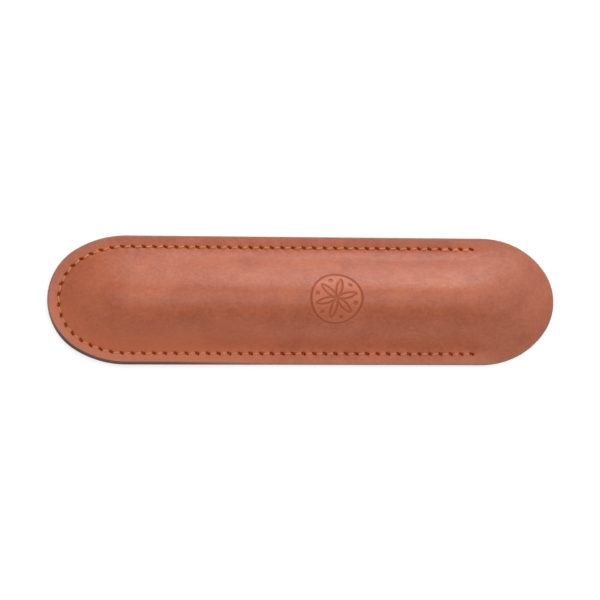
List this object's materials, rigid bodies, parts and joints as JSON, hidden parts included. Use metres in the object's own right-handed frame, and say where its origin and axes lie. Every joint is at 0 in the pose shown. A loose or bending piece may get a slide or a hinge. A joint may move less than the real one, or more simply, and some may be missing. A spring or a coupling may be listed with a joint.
{
  "type": "fountain pen case",
  "caption": "Slim moulded leather sleeve for one pen: flat back, ridged front, sewn along both sides and round the closed end, with free lips at the mouth.",
  "frame": {"origin": "middle of the flat back face, in the plane that the case lies on", "axes": "+X along the case towards the mouth, +Y across it, +Z out of the moulded front"},
  "size_m": [0.165, 0.0416, 0.0161],
  "materials": {
    "leather": "brown full-grain leather, satin",
    "thread": "ochre waxed thread",
    "edge_coat": "burnished edge coat, darker by the closed end",
    "cement": "dried contact cement"
  },
  "bodies": {
    "pocket": {"front_panel": "leather", "back_panel": "leather", "needle_thread": "thread", "bobbin_thread": "thread", "seam_cement": "cement", "seam_edge_coat": "edge_coat"},
    "front_mouth": {"front_lip": "leather", "front_lip_edge_coat": "edge_coat"},
    "back_mouth": {"back_lip": "leather", "back_lip_edge_coat": "edge_coat"}
  },
  "joints": [
    {"name": "front_lip_flex", "type": "hinge", "parent": "pocket", "child": "front_mouth", "pos_m": [0.0585, 0, 0.01546], "axis": [0, -1, 0], "range_deg": [0, 30], "stiffness_Nm_per_rad": 0.06},
    {"name": "back_lip_flex", "type": "hinge", "parent": "pocket", "child": "back_mouth", "pos_m": [0.0585, 0, 0], "axis": [0, 1, 0], "range_deg": [0, 20], "stiffness_Nm_per_rad": 0.05}
  ]
}
